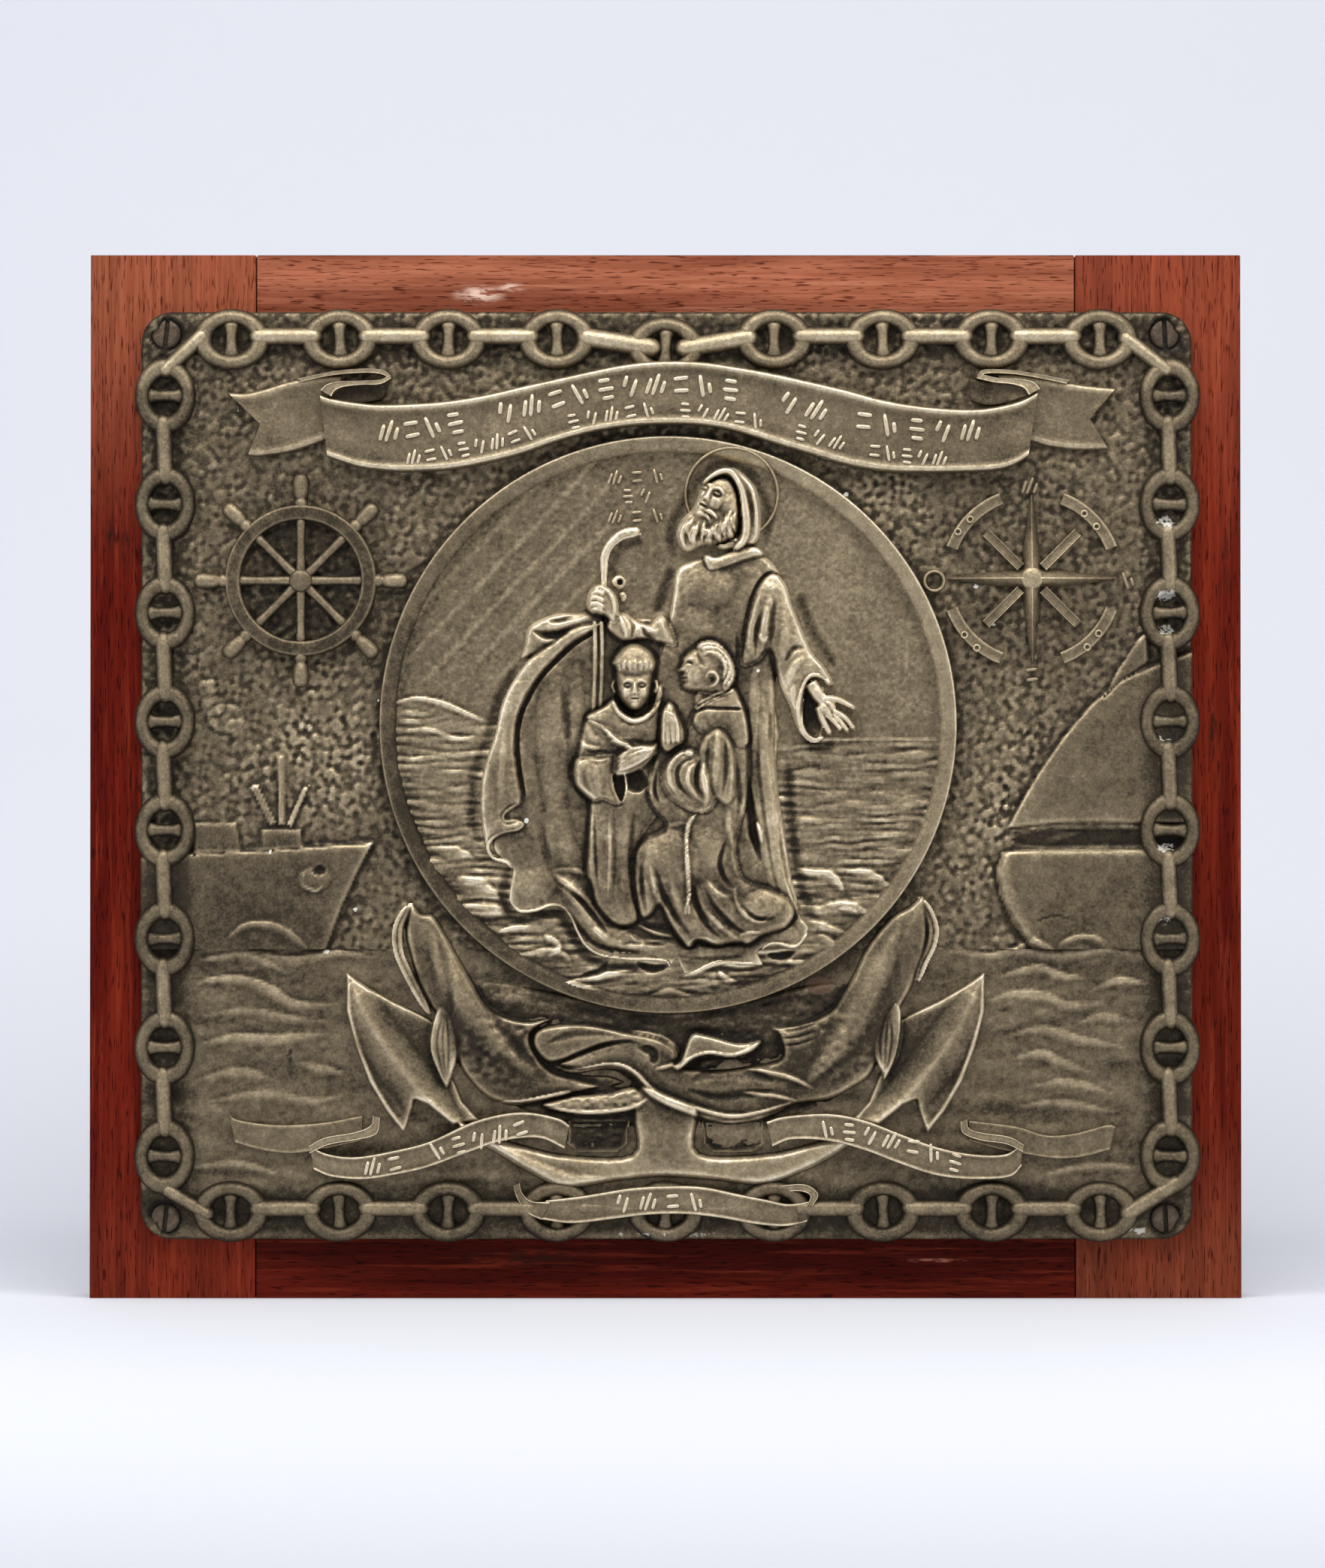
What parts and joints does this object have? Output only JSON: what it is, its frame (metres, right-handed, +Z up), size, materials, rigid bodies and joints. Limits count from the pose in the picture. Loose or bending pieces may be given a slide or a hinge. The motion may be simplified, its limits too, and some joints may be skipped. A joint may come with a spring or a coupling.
{
  "type": "wall plaque",
  "caption": "Framed relief plaque: a cast metal plate with a maritime devotional scene in a chain border, screwed to a dark wooden frame, hung on a wall.",
  "frame": {"origin": "the middle of the back face of the top rail, where the plaque hangs against the wall", "axes": "+X to the viewer's right, +Y back into the wall, +Z up; the relief faces -Y"},
  "size_m": [0.32, 0.0333, 0.29],
  "materials": {
    "cast_bronze": "cast bronze with a dark olive-brown patina, raised edges rubbed paler",
    "mahogany": "reddish mahogany with open pores, satin varnish",
    "dark_steel": "dark bronzed slotted screws, worn"
  },
  "bodies": {
    "root": {"relief_plate": "cast_bronze", "left_stile": "mahogany", "right_stile": "mahogany", "top_rail": "mahogany", "bottom_rail": "mahogany", "screw_top_left": "dark_steel", "screw_top_right": "dark_steel", "screw_bottom_left": "dark_steel", "screw_bottom_right": "dark_steel"}
  },
  "joints": []
}
